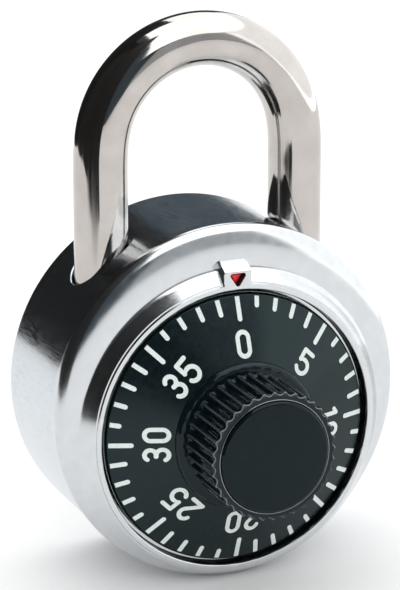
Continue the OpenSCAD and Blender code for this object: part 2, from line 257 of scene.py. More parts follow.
def noise(tree, scale, detail=3.0, stretch=(1, 1, 1), turn=0.0, layer=None):
    """Noise in object or layer coordinates, turned about Z; scale is per metre."""
    coord = attribute(tree, layer) if layer else tree.nodes.new("ShaderNodeTexCoord")
    place = tree.nodes.new("ShaderNodeMapping")
    place.inputs["Rotation"].default_value = (0.0, 0.0, turn)
    place.inputs["Scale"].default_value = stretch
    tex = tree.nodes.new("ShaderNodeTexNoise")
    tex.inputs["Scale"].default_value = scale
    tex.inputs["Detail"].default_value = detail
    tex.inputs["Roughness"].default_value = NOISE_ROUGHNESS
    link(tree, coord, "Vector" if layer else "Object", place, "Vector")
    link(tree, place, "Vector", tex, "Vector")
    return tex


def ramp(tree, source, out, span, a, b):
    """A colour ramp from a to b as the source goes over a span."""
    node = tree.nodes.new("ShaderNodeValToRGB")
    node.color_ramp.elements[0].position = span[0]
    node.color_ramp.elements[1].position = span[1]
    node.color_ramp.elements[0].color = (*a, 1.0)
    node.color_ramp.elements[1].color = (*b, 1.0)
    link(tree, source, out, node, "Fac")
    return node


def bump(tree, shader, source, out, strength, distance):
    """Bump the shader's normal by a height; distance is in metres."""
    node = tree.nodes.new("ShaderNodeBump")
    node.inputs["Strength"].default_value = strength
    node.inputs["Distance"].default_value = distance
    link(tree, source, out, node, "Height")
    link(tree, node, "Normal", shader, "Normal")


def surface(name, low, high, rough_low, rough_high, scale, bump_mm, bump_scale=None, strength=0.5,
            **values):
    """Colour and roughness that vary with one noise, and a finer bump."""
    mat, tree, shader = new_material(name, **values)
    tex = noise(tree, scale)
    colour = ramp(tree, tex, "Fac", SPAN, low, high)
    link(tree, colour, "Color", shader, "Base Color")
    gloss = ramp(tree, tex, "Fac", SPAN, (rough_low,) * 3, (rough_high,) * 3)
    link(tree, gloss, "Color", shader, "Roughness")
    fine = noise(tree, bump_scale or scale * 4, detail=4.0)
    bump(tree, shader, fine, "Fac", strength, bump_mm * MM)
    return mat


def hatched(name, low, high, rough_low, rough_high, strength, bump_mm):
    """Steel with two crossing sets of fine drawing and polishing lines."""
    mat, tree, shader = new_material(name, Metallic=1.0)
    both = tree.nodes.new("ShaderNodeMath")
    both.operation = "ADD"
    for i, turn in enumerate(HATCH_TURNS):
        lines = noise(tree, HATCH_SCALE, 2.0, HATCH_STRETCH, math.radians(turn))
        tree.links.new(lines.outputs["Fac"], both.inputs[i])
    colour = ramp(tree, both, "Value", (0.75, 1.25), low, high)
    link(tree, colour, "Color", shader, "Base Color")
    gloss = ramp(tree, both, "Value", (0.85, 1.2), (rough_low,) * 3, (rough_high,) * 3)
    link(tree, gloss, "Color", shader, "Roughness")
    bump(tree, shader, both, "Value", strength, bump_mm * MM)
    return mat


def plated_bar():
    """Warm plate over a drawn bar: faint lines run along it, with a few deeper ones."""
    mat, tree, shader = new_material("shackle_plate", Metallic=1.0)
    cloud = noise(tree, BAR_CLOUD, layer="bar")
    colour = ramp(tree, cloud, "Fac", SPAN, (0.47, 0.44, 0.415), (0.55, 0.52, 0.495))
    link(tree, colour, "Color", shader, "Base Color")
    lines = noise(tree, BAR_LINES, stretch=BAR_STRETCH, layer="bar")
    gloss = ramp(tree, lines, "Fac", LINE_SPAN, (0.05,) * 3, (0.15,) * 3)
    link(tree, gloss, "Color", shader, "Roughness")
    bump(tree, shader, lines, "Fac", 0.55, 0.006 * MM)
    return mat


def brushed_round(name, low, high, rough_low, rough_high, centre_z, bump_mm):
    """Steel with fine lines round an axis along Y."""
    mat, tree, shader = new_material(name, Metallic=1.0)
    coord = tree.nodes.new("ShaderNodeTexCoord")
    place = tree.nodes.new("ShaderNodeMapping")
    place.inputs["Location"].default_value = (0.0, 0.0, -centre_z * MM)
    place.inputs["Scale"].default_value = (1.0, 0.0, 1.0)
    radius = tree.nodes.new("ShaderNodeVectorMath")
    radius.operation = "LENGTH"
    link(tree, coord, "Object", place, "Vector")
    link(tree, place, "Vector", radius, "Vector")
    lines = tree.nodes.new("ShaderNodeTexNoise")
    lines.noise_dimensions = "1D"
    lines.inputs["Scale"].default_value = ROUND_LINES
    lines.inputs["Detail"].default_value = 3.0
    link(tree, radius, "Value", lines, "W")
    cloud = noise(tree, ROUND_CLOUD)
    colour = ramp(tree, cloud, "Fac", SPAN, low, high)
    link(tree, colour, "Color", shader, "Base Color")
    gloss = ramp(tree, lines, "Fac", SPAN, (rough_low,) * 3, (rough_high,) * 3)
    link(tree, gloss, "Color", shader, "Roughness")
    bump(tree, shader, lines, "Fac", 0.6, bump_mm * MM)
    return mat


def highlit_plastic(name, low, high, highlight_colour, rough_low, rough_high, scale, bump_scale, **values):
    """Black plastic with a painted highlight: paler where a per-vertex weight marks its edges."""
    mat = surface(name, low, high, rough_low, rough_high, scale, 0.003, bump_scale=bump_scale, **values)
    tree = mat.node_tree
    shader = tree.nodes["Principled BSDF"]
    base = shader.inputs["Base Color"].links[0].from_socket
    mix = tree.nodes.new("ShaderNodeMix")
    mix.data_type = "RGBA"
    colour = [i for i in mix.inputs if i.type == "RGBA"]
    colour[1].default_value = (*highlight_colour, 1.0)
    tree.links.new(base, colour[0])
    tree.links.new(attribute(tree, "painted_highlight").outputs["Fac"], mix.inputs[0])
    tree.links.new([o for o in mix.outputs if o.type == "RGBA"][0], shader.inputs["Base Color"])
    return mat


CASE = surface("case_drawn_steel", (0.59, 0.61, 0.625), (0.64, 0.66, 0.675), 0.14, 0.19, 700, 0.004,
               bump_scale=5200, strength=0.35, Metallic=1.0)
WALL = hatched("case_wall_steel", (0.47, 0.51, 0.545), (0.61, 0.65, 0.68), 0.10, 0.21, 0.4, 0.006)
SHACKLE = plated_bar()
COVER = brushed_round("cover_steel_satin", (0.585, 0.595, 0.615), (0.625, 0.635, 0.655), 0.20, 0.32,
                      BODY_Z, 0.010)
DIAL = surface("dial_black_enamel", (0.001, 0.004, 0.005), (0.003, 0.007, 0.008), 0.20, 0.28, 1500, 0.004,
               bump_scale=6000, Specular_IOR_Level=0.37, Specular_Tint=(0.72, 0.97, 1.0))
# Knob plastic with a paler painted highlight along its front edge and on its flutes' crests
KNOB = highlit_plastic("knob_black_plastic", (0.001, 0.004, 0.006), (0.003, 0.007, 0.009), (0.11, 0.13, 0.14),
              0.10, 0.16, 800, 3000, Specular_IOR_Level=0.30, Specular_Tint=(0.78, 0.95, 1.0))
CAP = surface("cap_black_gloss", (0.001, 0.003, 0.004), (0.003, 0.006, 0.007), 0.07, 0.12, 900, 0.003,
              bump_scale=3000, Specular_IOR_Level=0.22, Specular_Tint=(0.72, 0.96, 1.0))
EDGE = surface("cap_edge_bright", (0.20, 0.21, 0.22), (0.27, 0.28, 0.29), 0.12, 0.18, 900, 0.002,
               Metallic=1.0)
WHITE = surface("mark_white_paint", (0.62, 0.68, 0.66), (0.71, 0.77, 0.75), 0.40, 0.55, 2500, 0.01,
                bump_scale=9000)
# Near-black walls of the pointer's window: painted shade in the deep recess
WINDOW_SHADE = surface("window_painted_shade", (0.010, 0.010, 0.010), (0.018, 0.018, 0.018), 0.45, 0.6, 3000, 0.004,
               Specular_IOR_Level=0.2)
RED = surface("pointer_red_enamel", (0.72, 0.008, 0.016), (0.86, 0.020, 0.030), 0.12, 0.22, 1500, 0.01)
BRASS = surface("inner_brass", (0.62, 0.44, 0.18), (0.74, 0.55, 0.26), 0.22, 0.38, 1200, 0.006,
                Metallic=1.0)
STEEL = surface("inner_zinc_steel", (0.50, 0.49, 0.44), (0.66, 0.64, 0.58), 0.28, 0.42, 800, 0.008,
                Metallic=1.0)
SPRING = surface("spring_wire_steel", (0.40, 0.40, 0.42), (0.55, 0.55, 0.58), 0.22, 0.34, 2500, 0.004,
                 Metallic=1.0)
BRIGHT = surface("bright_ground_steel", (0.60, 0.60, 0.62), (0.72, 0.72, 0.74), 0.18, 0.30, 1500, 0.004,
                 Metallic=1.0)


# ------------------------------------------------------------------ case
SIDES = 360             # points round the case
FRONT_ROWS = 44         # rows over the flank, front and shoulder
RING_FOOT_R = WELL_R + 1.0  # where the ring's flank starts
GROOVE_H = RING_H - 0.3     # height of the flank there
FLANK_K = 1.27          # fall of the ring's flank per millimetre
FLAT_R = 17.0           # where the front starts to fall to the shoulder
SHOULDER_H = 9.0        # height of the shoulder's edge
TRIM_R = 5.4            # round that trims the ring's flank at the shoulder
TRIM_C = 18.6           # radius of the round's centre
TRIM_H = 9.3            # height of the round's centre
TRIM_END = 24.0         # outside of the round
TRIM_FALL = 50          # fall per millimetre beyond it
TRIM_FILLET = 0.12      # fillet between the flank and the round
FOOT_FILLET = 0.45      # fillet between the ring and the front
WALL_TOP = 7.6          # edges of the plain side wall
WALL_LOW = -8.4
REAR_H = -9.0           # rolled rear edge
LIP_R = 21.85           # inside of the rolled edge
LIP_H = -7.6            # where its lip ends
FLARE = 0.95            # radius of the roll round a shackle hole
HOLE_POINTS = 96        # points round a shackle hole


def wall_point(angle, h, r=CASE_R):
    """Point at an angle round the case, a height and a radius."""
    return (r * math.sin(angle), -h, BODY_Z + r * math.cos(angle))


def front_height(x, z):
    """Height of the drawn front outside the ring's groove."""
    rd = math.hypot(x, z - DIAL_Z)
    rb = math.hypot(x, z - BODY_Z)
    t = clamp((rb - FLAT_R) / (SHOULDER_R - FLAT_R))
    shoulder = SHOULDER_H + (FRONT_H - SHOULDER_H) * (1 - t ** 3) ** (1 / 3)
    flank = GROOVE_H - FLANK_K * (rd - RING_FOOT_R)
    if rb > TRIM_END:
        limit = TRIM_H - TRIM_FALL * (rb - TRIM_END)
    else:
        limit = TRIM_H + math.sqrt(TRIM_R ** 2 - max(rb - TRIM_C, 0.0) ** 2)
    ring = -smooth_max(-flank, -limit, TRIM_FILLET)
    return smooth_max(shoulder, ring, FOOT_FILLET)


BOSS_W = 1.95           # half width of the pointer boss
BOSS_TOP = 22.5         # its far end, from the dial axis
BOSS_CREASE = 21.42     # where its flat front turns down to the case
BOSS_SLOPE = 1.66       # fall of the boss's front beyond the crease, per millimetre
BOSS_CORNER = 0.45      # radius of its far corners
BOSS_FILLET = 0.18      # fillet along the crease
BOSS_PROUD = 0.003      # height of its front over the ring
RING_FLAT = 0.72        # width of the ring's flat top
WINDOW_H = RING_H - 1.95    # floor of the pointer's window
BOSS_COLUMN = 6         # column of the skin nearest a side of the boss
TUCK_W = 1.9            # half width that the column is drawn in to
TUCK_R = 19.0           # radius at which it has that half width
SUNK_W = 1.75           # half width of the sunk skin under the boss
SUNK_H = FRONT_H - 0.3  # height of the sunk skin


def dial_angle(i):
    """Angle of column i; the columns beside the boss are drawn in under it."""
    tucked = math.asin(TUCK_W / TUCK_R)
    if i == BOSS_COLUMN:
        return tucked
    if i == SIDES - BOSS_COLUMN:
        return TAU - tucked
    return TAU * i / SIDES


def under_boss(x, h, z):
    """Height of the case's skin, lowered where the boss's window is cut."""
    if abs(x) < SUNK_W and WELL_R - 0.01 < z - DIAL_Z < BOSS_TOP - 0.35:
        return min(h, SUNK_H)
    return h


def case_rows():
    """Rows of the case's skin from under the dial out to the side wall."""
    inner = rounded([(14.0, FRONT_H, 0), (WELL_R, FRONT_H, 0.15), (WELL_R, RING_H, 0.22),
                     (WELL_R + RING_FLAT, RING_H, 0.05), (WELL_R + 0.8, GROOVE_H, 0.05),
                     (RING_FOOT_R, GROOVE_H, 0)])
    rows = []
    for r, h in inner:
        row = []
        for i in range(SIDES):
            x, z = r * math.sin(dial_angle(i)), DIAL_Z + r * math.cos(dial_angle(i))
            row.append((x, -under_boss(x, h, z), z))
        rows.append(row)
    columns, fine = [], 240
    for i in range(SIDES):
        s, c = math.sin(dial_angle(i)), math.cos(dial_angle(i))
        a = Vector((RING_FOOT_R * s, DIAL_Z + RING_FOOT_R * c))
        s, c = math.sin(TAU * i / SIDES), math.cos(TAU * i / SIDES)
        b = Vector((SHOULDER_R * s, BODY_Z + SHOULDER_R * c))
        line = []
        for k in range(fine + 1):
            p = a.lerp(b, math.sin(k / fine * math.pi / 2))
            line.append(Vector((p.x, -front_height(p.x, p.y), p.y)))
        line[0].y = -GROOVE_H
        line[-1].y = -SHOULDER_H
        columns.append(resample(line, FRONT_ROWS))
    for j in range(1, FRONT_ROWS):
        row = [tuple(columns[i][j]) for i in range(SIDES)]
        rows.append([(x, -under_boss(x, -y, z), z) for x, y, z in row])
    edge = rounded([(SHOULDER_R, SHOULDER_H, 0), (SHOULDER_R - 0.02, 8.55, 0.6), (CASE_R, 8.0, 0.25),
                    (CASE_R, WALL_TOP, 0)])
    for r, h in edge[1:]:
        rows.append([wall_point(TAU * i / SIDES, h, r) for i in range(SIDES)])
    return rows


def hole_curve(side):
    """Outer edge of the roll into a hole, on the unrolled side wall."""
    out, radius = [], HOLE_R + FLARE
    for i in range(HOLE_POINTS):
        a = TAU * i / HOLE_POINTS
        x = side * LEG_X + radius * math.cos(a)
        out.append(Vector((math.asin(x / CASE_R) * CASE_R, radius * math.sin(a))))
    return out


def hole_gap(angle, h):
    """Distance from a point of the wall's upper half to the nearer hole's roll."""
    if math.cos(angle) <= 0:
        return math.inf
    x = CASE_R * math.sin(angle)
    return min(math.hypot(x - LEG_X, h), math.hypot(x + LEG_X, h)) - HOLE_R - FLARE


def wall_mesh():
    """Side wall with a hole for each leg, and the wall rolled into each hole."""
    bands, clear = 16, 0.25     # bands of the wall, and the least room beside a hole
    points, links = [], []
    for side in (-1, 1):
        links += ring_links(len(points), HOLE_POINTS)
        points += hole_curve(side)
    for i in range(-SIDES // 2, SIDES // 2 + 1):
        angle = TAU * i / SIDES
        for j in range(bands + 1):
            h = WALL_TOP + (WALL_LOW - WALL_TOP) * j / bands
            if hole_gap(angle, h) >= clear:
                points.append(Vector((angle * CASE_R, h)))
    out, tris = plane_mesh(points, links)
    faces = []
    for f in tris:
        c = middle(out, f)
        if hole_gap(c.x / CASE_R, c.y) >= -0.01:
            faces.append(tuple(f))
    verts = [wall_point(p.x / CASE_R, p.y) for p in out]
    for side in (-1, 1):
        verts, faces = stitch(roll_loops(side), (verts, faces))
    return verts, faces


def roll_loops(side):
    """Loops of the wall's roll into a hole, and of the short neck inside it."""
    steps, neck, loops = 12, 1.6, []
    for j in range(steps + 3):
        t = min(j, steps) / steps * math.pi / 2
        r = HOLE_R + FLARE * (1 - math.sin(t))
        drop = FLARE * (1 - math.cos(t)) + max(j - steps, 0) * neck
        loop = []
        for i in range(HOLE_POINTS):
            a = TAU * i / HOLE_POINTS
            x = side * LEG_X + r * math.cos(a)
            loop.append((x, -r * math.sin(a), BODY_Z + math.sqrt(CASE_R ** 2 - x * x) - drop))
        loops.append(loop)
    return loops


def build_case():
    """The drawn front and shoulder, and the side wall with its rolled rear edge."""
    rows = case_rows()
    verts = [p for row in rows for p in row]
    make_object("case_skin", verts, grid_faces(len(rows), SIDES), "case", CASE, 32,
                "outer_case")
    verts, faces = wall_mesh()
    back = rounded([(CASE_R, WALL_LOW, 0), (CASE_R, REAR_H, 0.55), (LIP_R, REAR_H, 0.12),
                    (LIP_R, LIP_H, 0)])
    back_verts, back_faces = lathe(back, BODY_Z, SIDES)
    faces += [tuple(i + len(verts) for i in f) for f in back_faces]
    verts += back_verts
    make_object("case_wall", verts, faces, "case", WALL, 32)


build_case()


# ------------------------------------------------------------------ pointer
TRI_W = 1.3             # half width of the window's triangle
TRI_TOP = 21.1          # its top edge, from the dial axis
TRI_TIP = 19.15         # its tip, from the dial axis
TRI_CORNER = 0.27       # fillet of its corners
FACE_INSET = 9.0        # an inset that is well past the boss's rounded edge
RIM_GROW = 0.07         # how far the window's rounded rim reaches past the triangle


def triangle_loop(grow):
    """Rounded triangle, point down towards the dial, as (x, height above the dial axis)."""
    tri = [Vector((-TRI_W, TRI_TOP)), Vector((TRI_W, TRI_TOP)), Vector((0.0, TRI_TIP))]
    out = []
    for i, p in enumerate(tri):
        a = (tri[i - 1] - p).normalized()
        b = (tri[(i + 1) % 3] - p).normalized()
        out.append(p - (a + b).normalized() * grow / math.sin(a.angle(b) / 2))
    corners = [(*p, max(TRI_CORNER + grow, 0.03)) for p in out]
    closed = [(*corners[0][:2], 0)] + corners[1:] + [corners[0], (*corners[1][:2], 0)]
    return rounded(closed, 5)[1:-1]


def boss_outline(inset):
    """Outline of the boss: an arc on the well's edge, straight sides, rounded top corners."""
    w, top, corner = BOSS_W - inset, BOSS_TOP - inset, BOSS_CORNER - inset
    r = WELL_R - 0.005 + inset
    half = math.asin(w / r)
    pts = [Vector((r * math.sin(t), r * math.cos(t))) for t in [half * (k / 10 - 1) for k in range(21)]]
    low = pts[-1].y
    pts += [Vector((w, low + (top - corner - low) * k / 14)) for k in range(1, 14)]
    for side in (1, -1):
        for k in range(7):
            t = math.pi / 2 * k / 6
            t = t if side > 0 else math.pi / 2 - t
            x = w - corner + corner * math.cos(t)
            pts.append(Vector((side * x, top - corner + corner * math.sin(t))))
        if side > 0:
            pts += [Vector(((w - corner) * (1 - 2 * k / 8), top)) for k in range(1, 8)]
    pts += [Vector((-w, top - corner + (low - top + corner) * k / 14)) for k in range(1, 14)]
    return pts


def boss_height(p, inset):
    """Height of the boss's front: flush with the ring, then sloping to the case."""
    r = p.length
    slope = RING_H - BOSS_SLOPE * (p.y - BOSS_CREASE)
    h = -smooth_max(-RING_H - BOSS_PROUD, -slope, BOSS_FILLET)
    beside = clamp((r - WELL_R - RING_FLAT) / 0.12)
    return h - fall(max(r - WELL_R, 0.0), 0.22) - fall(inset, 0.2) * beside


def boss_place(p, h):
    """Point at an outline's point and a height."""
    return (p.x, -h, DIAL_Z + p.y)


def build_boss():
    """Raised tab flush with the ring, with a triangular window through it."""
    insets = (0.0, 0.015, 0.05, 0.1, 0.16, 0.24)
    outer = [[boss_place(p, boss_height(p, d)) for p in boss_outline(d)] for d in insets]
    foot = [(x * 1.01, -FRONT_H + 0.35, z) for x, _, z in outer[0]]
    window = []
    for grow, drop in ((RIM_GROW, 0.0), (0.03, 0.01), (0.008, 0.03), (0.0, 0.07)):
        window.append([boss_place(p, boss_height(p, FACE_INSET) - drop) for p in triangle_loop(grow)])
    window.append([boss_place(p, RING_H - 0.3) for p in triangle_loop(0.0)])
    verts, faces = stitch(window, stitch([foot] + outer))

    edge, rim = boss_outline(insets[-1]), triangle_loop(RIM_GROW)
    points = edge + rim
    for y in [BOSS_CREASE + 0.05 * k for k in range(-3, 4)]:
        points += [Vector((BOSS_W * (k / 8 - 1) * 0.82, y)) for k in range(17)]
    out, tris = plane_mesh(points, ring_links(0, len(edge)) + ring_links(len(edge), len(rim)))
    for f in tris:
        c = middle(out, f)
        if inside(c, edge) and not inside(c, rim):
            faces.append(tuple(len(verts) + i for i in f))
    verts += [boss_place(p, boss_height(p, FACE_INSET)) for p in out]
    make_object("pointer_boss", verts, faces, "case", CASE, 38)


def build_window_wall():
    """Punched wall of the window, from under its rim down to the insert, near black as painted shade."""
    loops = [[boss_place(p, h) for p in triangle_loop(grow)]
             for grow, h in ((0.06, RING_H - 0.16), (0.0, RING_H - 0.16), (-0.01, RING_H - 0.6),
                             (-0.02, WINDOW_H - 0.05), (0.06, WINDOW_H - 0.05))]
    verts, faces = stitch(loops + loops[:1])
    make_object("pointer_window", verts, faces, "case", WINDOW_SHADE, 50)


def end_caps(verts, count):
    """Faces that close the first and the last loop of count points."""
    return [tuple(range(count - 1, -1, -1)), tuple(range(len(verts) - count, len(verts)))]


def build_pointer():
    """Domed red insert on the window's floor."""
    loops = []
    for grow, h in ((-0.03, 0.0), (-0.03, 0.75), (-0.12, 1.0), (-0.24, 1.14), (-0.40, 1.22)):
        loops.append([boss_place(p, WINDOW_H + h) for p in triangle_loop(grow)])
    verts, faces = stitch(loops)
    faces += end_caps(verts, len(loops[0]))
    make_object("pointer_insert", verts, faces, "case", RED, 50, "index_pointer")


build_boss()
build_window_wall()
build_pointer()


# ------------------------------------------------------------------ rear cover and dial
MIDDLE_R = 0.02         # radius of the pinhole in the middle of a turned disc


def build_cover():
    """Pressed rear cover: a raised flat disc inside two lower steps."""
    flat, step, rim = -9.3, -8.75, -8.45
    profile = rounded([(MIDDLE_R, flat, 0), (6.0, flat, 0), (12.0, flat, 0), (19.6, flat, 0.5),
                       (20.7, step, 0.4), (21.55, step, 0.1), (21.55, rim, 0.1), (22.8, rim, 0.1),
                       (22.8, -7.8, 0)])
    verts, faces = lathe(profile, BODY_Z, 256)
    make_object("rear_cover_disc", verts, faces, "case", COVER, 35, "rear_cover")


def cone_height(r):
    """Height of the dial's cone at a radius."""
    return CONE_H + (CONE_R - r) * CONE_K


def build_dial():
    """Cone of the dial, from under the knob to its turned-in rim."""
    cone = [(r, cone_height(r), 0) for r in (9.2, 14.0)]
    profile = rounded(cone + [(CONE_R + 0.05, CONE_H, 0.25), (18.3, 12.1, 0.12), (18.3, 11.5, 0.1),
                              (16.9, 11.5, 0)])
    verts, faces = lathe(profile, DIAL_Z, 256)
    make_object("dial_cone", verts, faces, "dial", DIAL, 40, "dial_plate")


build_cover()
build_dial()


# ------------------------------------------------------------------ knob
FLUTES = 36
PER_FLUTE = 20          # points to each flute
FLUTE_D = 0.55          # depth of a flute
FLUTE_HALF = 0.84       # share of the pitch that a flute takes
KNOB_ROW = 0.35         # longest step along the knob's profile
FOOT_R = 9.98           # rounded foot of the knob
CREST_R = 8.62          # crests between the flutes
CREST_FRONT_R = 8.46    # crests at the front edge
HIGHLIGHT_R = 8.4            # the knob gets its painted highlight only outside this radius
SEAT_H = RIM_H - 1.0    # bottom of the gap between rim and cap
CAP_R = 7.45            # side of the cap
DOME_R = 6.2            # where the curve of the cap's dome ends
DOME_DROP = 0.26        # fall of the dome from its middle to there
DOME_H = KNOB_H + 0.36  # middle of the dome
BEAD_R = 7.58           # bright bead between rim and cap
BEAD_WIRE = 0.08        # radius of the bead itself


def build_knob():
    """Knob on a rounded foot, its flutes running out through the front edge."""
    hub = cone_height(10.0)     # the dial's cone at the foot
    profile = rounded([(FOOT_R, hub - 0.25, 0), (FOOT_R, hub + 0.86, 0.82),
                       (CREST_R + 0.1, hub + 0.94, 0.12), (CREST_R, hub + 1.3, 0.1),
                       (CREST_R, RIM_H - 0.24, 0.1), (CREST_FRONT_R, RIM_H, 0.1),
                       (7.62, RIM_H, 0.05), (7.54, SEAT_H, 0)], 8)
    dense = []
    for a, b in zip(profile, profile[1:]):
        parts = max(1, int((b - a).length / KNOB_ROW))
        dense += [a.lerp(b, k / parts) for k in range(parts)]
    dense.append(profile[-1])
    count = FLUTES * PER_FLUTE
    verts, painted_highlight = [], []
    for r, h in dense:
        rise = clamp((h - hub - 0.8) / 0.8)     # flutes fade in above the foot
        front = clamp((RIM_H - h) / 1.2)        # and get shallower at the front
        # Painted highlight: full along the front edge's bevel, faint on the crests between the flutes
        front_highlight = r > HIGHLIGHT_R and RIM_H - 0.22 < h < RIM_H - 0.02
        crest_highlight = rise > 0.2 and HIGHLIGHT_R < r < CREST_R + 0.08
        for i in range(count):
            u = abs((i / PER_FLUTE) % 1.0 - 0.5) * 2    # 0 in a flute, 1 on a crest
            scoop = max(0.0, 1 - (u / FLUTE_HALF) ** 2)
            depth = FLUTE_D * scoop * math.sqrt(rise) * (0.62 + 0.38 * front)
            rr = r - depth * clamp((r - 7.7) / 0.7)
            a = TAU * i / count
            verts.append((rr * math.sin(a), -h, DIAL_Z + rr * math.cos(a)))
            crest = 0.22 * clamp((u - 0.72) / 0.1) if crest_highlight else 0.0
            painted_highlight.append(1.0 if front_highlight else crest)
    make_object("knob_fluted", verts, grid_faces(len(dense), count), "dial", KNOB, 38,
                "knob", painted_highlight=painted_highlight)


def build_cap():
    """Domed cap in the knob's rim, with a bright bead round it."""
    dome = [(r, DOME_H - DOME_DROP * (r / DOME_R) ** 2, 0)
            for r in (MIDDLE_R, 1.0, 2.0, 3.0, 4.0, 5.0, DOME_R)]
    edge = [(CAP_R, KNOB_H - 0.01, 0.5), (CAP_R, SEAT_H, 0)]
    verts, faces = lathe(rounded(dome + edge, 10), DIAL_Z, 192)
    make_object("knob_cap_disc", verts, faces, "dial", CAP, 40, "knob_cap")
    bead = [(BEAD_R + BEAD_WIRE * math.cos(t), RIM_H + 0.01 + BEAD_WIRE * math.sin(t), 0)
            for t in [math.pi * (1.15 - 1.3 * k / 8) for k in range(9)]]
    verts, faces = lathe(rounded(bead), DIAL_Z, 192)
    make_object("knob_cap_edge", verts, faces, "dial", EDGE, 60)


build_knob()
build_cap()


# ------------------------------------------------------------------ shackle
EASE = 0.3              # share of the bend over which it eases out into a leg
CROWN_STEPS = 60        # steps over half of the crown
AROUND = 72             # points round the bar
TOE_Z = -33.0           # ends of the toe and the heel
HEEL_Z = -56.6
NOTCH_X = -11.38        # flat of the toe's notch
NOTCH_LOW = -30.6
NOTCH_TOP = -27.4
NOTCH_RAMP = 0.45       # slope of the toe below the notch
NECK_R = 2.6            # neck of the heel
PLAIN_Z = -24.0         # above this the toe's leg is plain
PLAIN_ROWS = 14         # rows of that part
HEEL_ROWS = 27          # rows of the heel's leg, one a millimetre


def half_crown():
    """Half of the crown's centreline, from its top down to the straight leg, as (x, z, angle)."""
    out, x, z, angle = [], 0.0, 0.0, 0.0
    for k in range(CROWN_STEPS + 1):
        out.append((x, z, angle))
        u = (k + 0.5) / CROWN_STEPS
        turn = min((1 - u) / EASE, 1.0) * math.pi / 2 / (1 - EASE / 2) / CROWN_STEPS
        x += math.cos(angle + turn / 2) / CROWN_STEPS
        z -= math.sin(angle + turn / 2) / CROWN_STEPS
        angle += turn
    size = LEG_X / out[-1][0]
    return [(x * size, BAR_R + z * size, angle) for x, z, angle in out]


def shackle_spine():
    """Centreline of the bar from toe to heel, as (centre, direction, radius)."""
    crown = half_crown()
    bend_z = crown[-1][1]
    toe = [(TOE_Z, 0.02), (TOE_Z, 2.7), (TOE_Z + 0.1, 2.97), (TOE_Z + 0.6, BAR_R - 0.06)]
    toe += [(z, BAR_R) for z in (TOE_Z + 0.8, -31.5, NOTCH_LOW - 0.01, NOTCH_LOW + 0.01, -29.5, -28.4,
                                 NOTCH_TOP - 0.01, NOTCH_TOP + 0.01, -26.5, -25.0)]
    toe += [(PLAIN_Z + (bend_z - PLAIN_Z) * k / PLAIN_ROWS, BAR_R) for k in range(PLAIN_ROWS)]
    heel = [(bend_z - k - 1, BAR_R) for k in range(HEEL_ROWS)]
    heel += [(-41.45, BAR_R), (-41.75, NECK_R + 0.02), (-41.95, NECK_R), (-48.0, NECK_R), (-54.4, NECK_R),
             (-54.6, BAR_R - 0.1), (-54.75, BAR_R), (-56.3, BAR_R), (HEEL_Z, BAR_R - 0.3), (HEEL_Z, 0.02)]
    spine = [(Vector((-LEG_X, 0, z)), Vector((0, 0, 1)), r) for z, r in toe]
    for x, z, a in crown[:0:-1]:
        spine.append((Vector((-x, 0, z)), Vector((math.cos(a), 0, math.sin(a))), BAR_R))
    for x, z, a in crown:
        spine.append((Vector((x, 0, z)), Vector((math.cos(a), 0, -math.sin(a))), BAR_R))
    return spine + [(Vector((LEG_X, 0, z)), Vector((0, 0, -1)), r) for z, r in heel]


def build_shackle():
    """Round bar along its spine, with the latch's notch cut in the toe."""
    spine = shackle_spine()
    verts, bar, run = [], [], 0.0
    for j, (centre, tangent, r) in enumerate(spine):
        out = Vector((-tangent.z, 0, tangent.x))
        run += (centre - spine[max(j - 1, 0)][0]).length
        for i in range(AROUND):
            a = TAU * i / AROUND
            p = centre + out * r * math.cos(a) + Vector((0, -1, 0)) * r * math.sin(a)
            if p.x < 0 and NOTCH_LOW - 0.005 < p.z < NOTCH_TOP + 0.005:
                p.x = min(p.x, NOTCH_X)
            elif p.x < 0 and p.z < NOTCH_LOW:
                p.x = min(p.x, NOTCH_X + (NOTCH_LOW - p.z) * NOTCH_RAMP)
            verts.append(tuple(p))
            bar.append((r * math.cos(a), r * math.sin(a), run))
    make_object("shackle_bar", verts, grid_faces(len(spine), AROUND), "shackle",
                SHACKLE, 35, "shackle", bar=bar)


build_shackle()


# ------------------------------------------------------------------ latch spring
COILS = 5
PER_COIL = 24           # steps along a coil
WIRE_SIDES = 10         # points round the wire
SPRING_X0 = 2.25        # end at the bolt
SPRING_X1 = 8.55        # end at the guide
COIL_R = 1.15           # middle of the wire
WIRE_R = 0.19
SPRING_Z = -29.0        # axis of the spring


def build_latch_spring():
    """Coil between the bolt and its guide, drawn at one length; the real one shortens as the bolt slides.
    """
    verts, count = [], COILS * PER_COIL
    for k in range(count + 1):
        t = TAU * k / PER_COIL
        out = Vector((0, math.cos(t), math.sin(t)))
        centre = Vector((SPRING_X0 + (SPRING_X1 - SPRING_X0) * k / count, 0, SPRING_Z)) + out * COIL_R
        for i in range(WIRE_SIDES):
            a = TAU * i / WIRE_SIDES
            p = centre + out * WIRE_R * math.cos(a) + Vector((1, 0, 0)) * WIRE_R * math.sin(a)
            verts.append(tuple(p))
    faces = grid_faces(count + 1, WIRE_SIDES) + end_caps(verts, WIRE_SIDES)
    spring = make_object("latch_spring_coil", verts, faces, "case", SPRING, 50,
                         "latch_spring")
    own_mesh(spring)


build_latch_spring()

